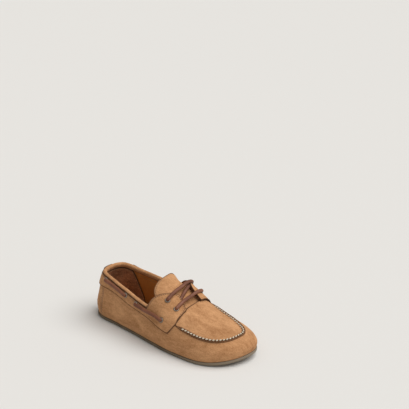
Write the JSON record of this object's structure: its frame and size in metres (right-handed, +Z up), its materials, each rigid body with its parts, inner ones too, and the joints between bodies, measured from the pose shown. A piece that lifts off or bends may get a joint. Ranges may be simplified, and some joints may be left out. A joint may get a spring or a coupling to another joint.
{
  "type": "boat shoe moccasin",
  "caption": "Low hand-sewn suede moccasin with a raised toe seam, a rawhide lace through metal eyelets, a padded collar and a thin rubber sole.",
  "frame": {"origin": "on the ground, under the middle of the shoe", "axes": "+X to the toe, +Y to the inner (medial) side of this right shoe, +Z up"},
  "size_m": [0.2748, 0.1038, 0.0841],
  "materials": {
    "suede": "brushed suede with a soft nap",
    "suede_lining": "dark brushed lining suede",
    "tan_leather": "smooth tanned lining leather, satin",
    "rawhide": "waxed rawhide, satin",
    "sole_rubber": "matt moulded rubber",
    "eyelet_metal": "antiqued plating, worn bright on the rim",
    "thread": "waxed thick thread",
    "foam": "open foam",
    "board": "pressed fibre board"
  },
  "bodies": {
    "shoe": {"outsole": "sole_rubber", "midsole_filler": "foam", "insole_board": "board", "heel_cushion": "foam", "sock_lining": "tan_leather", "vamp_wall": "suede", "apron": "suede", "moc_seam_thread": "thread", "lateral_quarter": "suede", "medial_quarter": "suede", "back_strip": "suede", "heel_counter": "suede_lining", "heel_lining": "suede_lining", "lateral_quarter_lining": "tan_leather", "medial_quarter_lining": "tan_leather", "collar_binding": "suede", "collar_foam": "foam", "eyelet_lateral_side_1": "eyelet_metal", "eyelet_lateral_side_2": "eyelet_metal", "eyelet_lateral_side_3": "eyelet_metal", "eyelet_lateral_side_4": "eyelet_metal", "eyelet_lateral_front_1": "eyelet_metal", "eyelet_lateral_front_2": "eyelet_metal", "eyelet_medial_side_1": "eyelet_metal", "eyelet_medial_side_2": "eyelet_metal", "eyelet_medial_side_3": "eyelet_metal", "eyelet_medial_side_4": "eyelet_metal", "eyelet_medial_front_1": "eyelet_metal", "eyelet_medial_front_2": "eyelet_metal", "lace": "rawhide"},
    "tongue": {"tongue": "suede", "tongue_lining": "tan_leather"}
  },
  "joints": [
    {"name": "tongue_hinge", "type": "hinge", "parent": "shoe", "child": "tongue", "pos_m": [0.0389, 0.006, 0.055], "axis": [0, 1, 0], "range_deg": [-12, 0], "stiffness_Nm_per_rad": 0.5}
  ]
}
